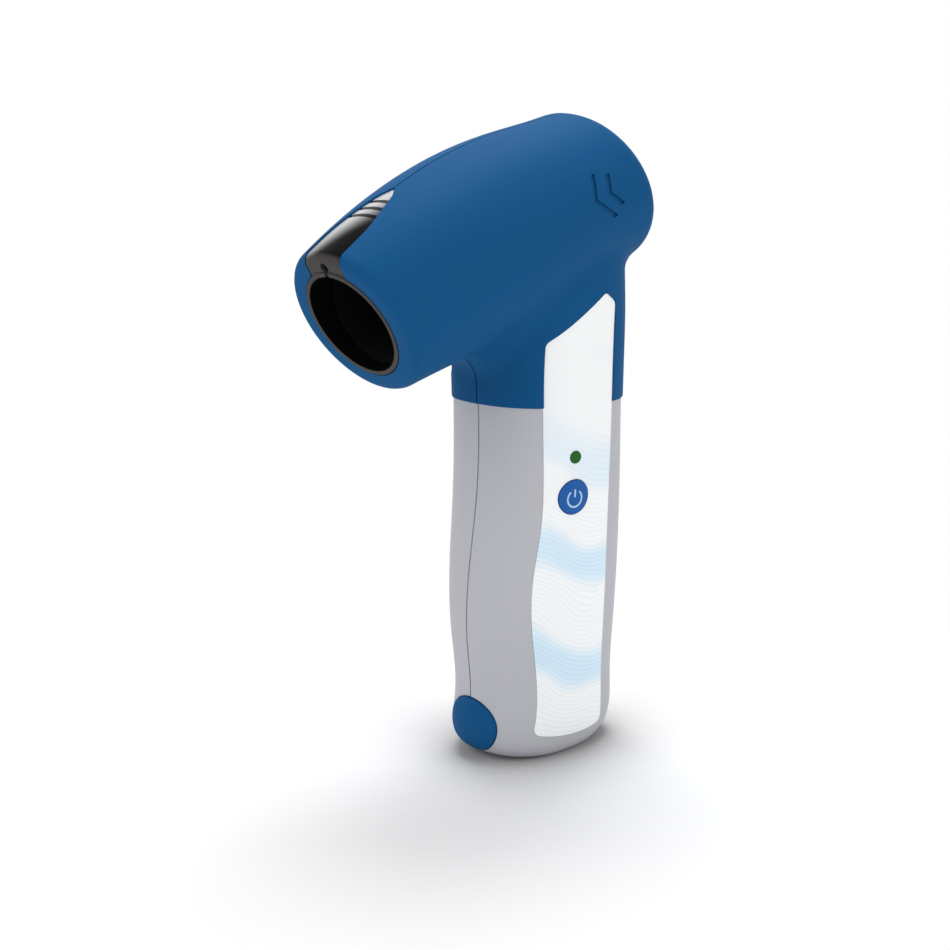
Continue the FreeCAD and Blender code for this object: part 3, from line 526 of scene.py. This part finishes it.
ink = moulded("symbol_ink", (0.40, 0.60, 0.80), gloss=0.35, patchiness=0.02, bump=0.03)
turn = np.linspace(SYMBOL_GAP, 2 * math.pi - SYMBOL_GAP, 97)
ring_path = SYMBOL_RADIUS * np.stack([np.sin(turn), np.cos(turn)], axis=1) - [0.0, SYMBOL_DROP]
bar_z = np.linspace(0.15, 1.15, 33) * SYMBOL_RADIUS - SYMBOL_DROP
bar_path = np.stack([np.zeros_like(bar_z), bar_z], axis=1)
for name, path in (("power_symbol_ring", ring_path), ("power_symbol_bar", bar_path)):
    add_piece(name, ink_stroke(name, path), ink, "power_button")

# %% [markdown]
# Inside pieces
# They show only when the instrument is open, but each still has its finish.

# %% Finish the inside
inner_plastic = moulded("inner_plastic", (0.25, 0.26, 0.27), gloss=0.5)
seal_rubber = moulded("seal_rubber", (0.03, 0.03, 0.03), gloss=0.7)
sensor_case = moulded("sensor_case", (0.02, 0.02, 0.022), gloss=0.45)
board_mask = moulded("board", (0.01, 0.12, 0.05), gloss=0.35, patchiness=0.1)
battery_wrap = moulded("battery_sleeve", (0.05, 0.07, 0.1), gloss=0.3)
bright_metal = moulded("switch_metal", (0.6, 0.6, 0.6), gloss=0.35, Metallic=1.0)
screw_steel = moulded("screw_steel", (0.55, 0.55, 0.56), gloss=0.3, Metallic=1.0)
dress(inner_plastic, "tap_manifold", "battery_holder")
dress(seal_rubber, "tap_seal_front", "tap_seal_rear")
dress(sensor_case, "pressure_sensor")
dress(board_mask, "main_board", "charge_board")
dress(battery_wrap, "battery")
dress(bright_metal, "power_switch", "radio_module", "charge_socket")
dress(screw_steel, *[name for name in nodes if name.startswith("shell_screw")])
print("inside finished")

# %% [markdown]
# Floor, lamps and world
# A product picture stands on a pale floor that melts into a white backdrop.
# The floor is shown white to the camera by its own light, apart from where the
# object shades it; there, under the foot, a contact shadow is also painted into
# the floor's colour. The lamps are soft and wide.

# %% Build the stage
FLOOR_HALF = 3.0
FLOOR_DROP = 0.05 * MM
FLOOR_NEAR = 0.07
FLOOR_FAR = 0.24
FLOOR_PALE = (0.92, 0.92, 0.925)
# Colour of the contact shadow painted under the foot.
PAINTED_CONTACT_SHADOW = (0.50, 0.50, 0.505)
CONTACT_REACH = 0.05
WORLD_STRENGTH = 0.42
LAMPS = (
    ("key_lamp", (-0.05, -0.97, 0.7), 1.0, 4.4),
    ("fill_lamp", (1.0, 0.25, 0.6), 1.0, 3.9),
    ("top_lamp", (-0.22, 0.20, 1.05), 0.55, 7.0),
)


def seen_directly(tree):
    """1 for rays from the camera, and for those that mirror or pass through a surface."""
    path = tree.nodes.new("ShaderNodeLightPath").outputs
    shows = math_node(tree, "MAXIMUM", path["Is Camera Ray"], path["Is Glossy Ray"])
    return math_node(tree, "MAXIMUM", shows, path["Is Transmission Ray"])


def floor_material():
    """Pale floor, with a painted contact shadow in its colour where the foot shuts out the light, and pure
    white further out.
    """
    material, tree, shader = new_material("floor", Roughness=0.7, Specular_IOR_Level=0.0)
    # Painted shadow: ambient occlusion darkens the floor's colour near the object.
    openness = add_node(tree, "ShaderNodeAmbientOcclusion", {"Distance": CONTACT_REACH}).outputs["AO"]
    tone = blend_colours(tree, ramp(tree, openness, 0.45, 0.95), PAINTED_CONTACT_SHADOW, FLOOR_PALE)
    tree.links.new(tone, shader.inputs["Base Color"])
    distance = add_node(tree, "ShaderNodeVectorMath", {0: place(tree)}, operation="LENGTH").outputs["Value"]
    share = math_node(tree, "MULTIPLY", ramp(tree, distance, FLOOR_NEAR, FLOOR_FAR), seen_directly(tree))
    white = tree.nodes.new("ShaderNodeEmission")
    mix = add_node(tree, "ShaderNodeMixShader", {0: share, 1: shader.outputs[0], 2: white.outputs[0]})
    tree.links.new(mix.outputs[0], tree.nodes["Material Output"].inputs["Surface"])
    return material


def add_floor():
    """A large plane just under the foot."""
    half = FLOOR_HALF
    corners = [(-half, -half, 0), (half, -half, 0), (half, half, 0), (-half, half, 0)]
    mesh = bpy.data.meshes.new("floor")
    mesh.from_pydata(corners, [], [(0, 1, 2, 3)])
    floor = bpy.data.objects.new("floor", mesh)
    bpy.context.scene.collection.objects.link(floor)
    floor.location.z = cad_box[0].z - FLOOR_DROP
    mesh.materials.append(floor_material())


def add_lamp(name, place_at, size, power):
    """A square soft lamp, with its side in metres and its power in watts, aimed at the object's middle."""
    data = bpy.data.lights.new(name, "AREA")
    data.size = size
    data.energy = power
    lamp = bpy.data.objects.new(name, data)
    bpy.context.scene.collection.objects.link(lamp)
    target = (cad_box[0] + cad_box[1]) / 2
    lamp.location = Vector(place_at)
    lamp.rotation_mode = "QUATERNION"
    lamp.rotation_quaternion = (target - lamp.location).to_track_quat("-Z", "Y")


def light_world(strength):
    """A plain world that lights the object softly and shows white to the camera."""
    world = bpy.data.worlds.new("world")
    world.use_nodes = True
    tree = world.node_tree
    back = tree.nodes["Background"]
    tree.links.new(math_node(tree, "MAXIMUM", seen_directly(tree), strength), back.inputs["Strength"])
    back.inputs["Color"].default_value = (1, 1, 1, 1)
    bpy.context.scene.world = world


add_floor()
for lamp in LAMPS:
    add_lamp(*lamp)
light_world(WORLD_STRENGTH)
bpy.context.scene.view_settings.view_transform = "Standard"
print("stage built with", len(LAMPS), "lamps")

# %% [markdown]
# Close the lesson


print("lesson closed")
